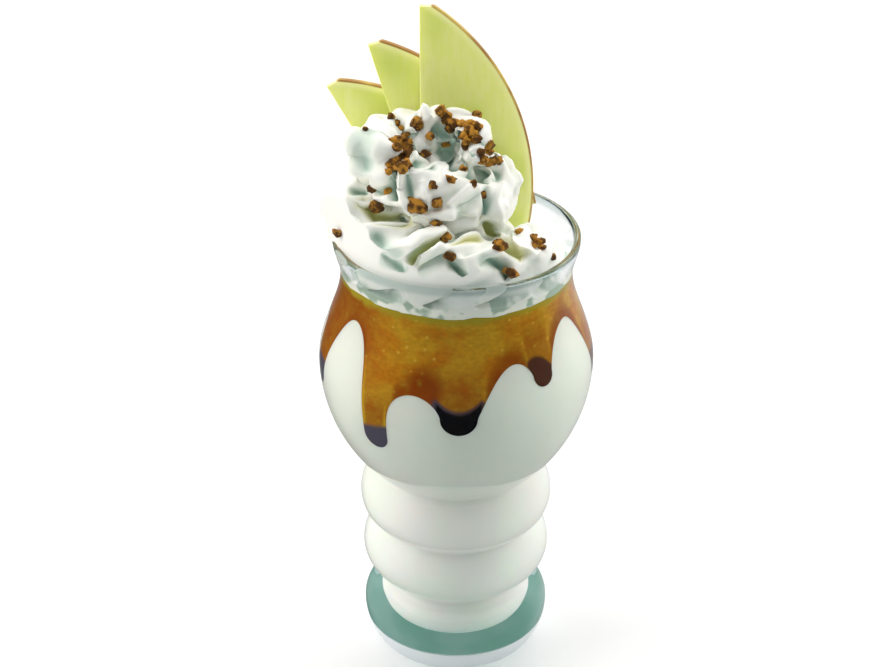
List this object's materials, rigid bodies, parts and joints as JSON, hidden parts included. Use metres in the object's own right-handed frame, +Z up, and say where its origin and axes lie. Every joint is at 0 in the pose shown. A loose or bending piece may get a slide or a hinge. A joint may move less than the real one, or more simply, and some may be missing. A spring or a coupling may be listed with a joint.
{
  "type": "milkshake in a glass",
  "caption": "White milkshake in a ribbed tulip glass with amber sauce runs, a piped swirl of whipped cream, crumbs and a fan of apple slices.",
  "frame": {"origin": "middle of the glass's flat foot, on the surface it stands on", "axes": "+Z up along the glass's axis, -Y towards the shown side, +X to the right as seen from there"},
  "size_m": [0.0824, 0.082, 0.2036],
  "materials": {
    "glass": "clear, slightly green in the thick foot",
    "milkshake": "creamy white, soft",
    "sauce": "translucent amber, glossy",
    "whipped_cream": "white, soft sheen",
    "apple": "moist yellow-green flesh with a thin tan and red skin"
  },
  "bodies": {
    "root": {"glass": "glass", "milkshake": "milkshake", "sauce": "sauce", "whipped_cream": "whipped_cream", "apple_slice_1": "apple", "apple_slice_2": "apple", "apple_slice_3": "apple"}
  },
  "joints": []
}
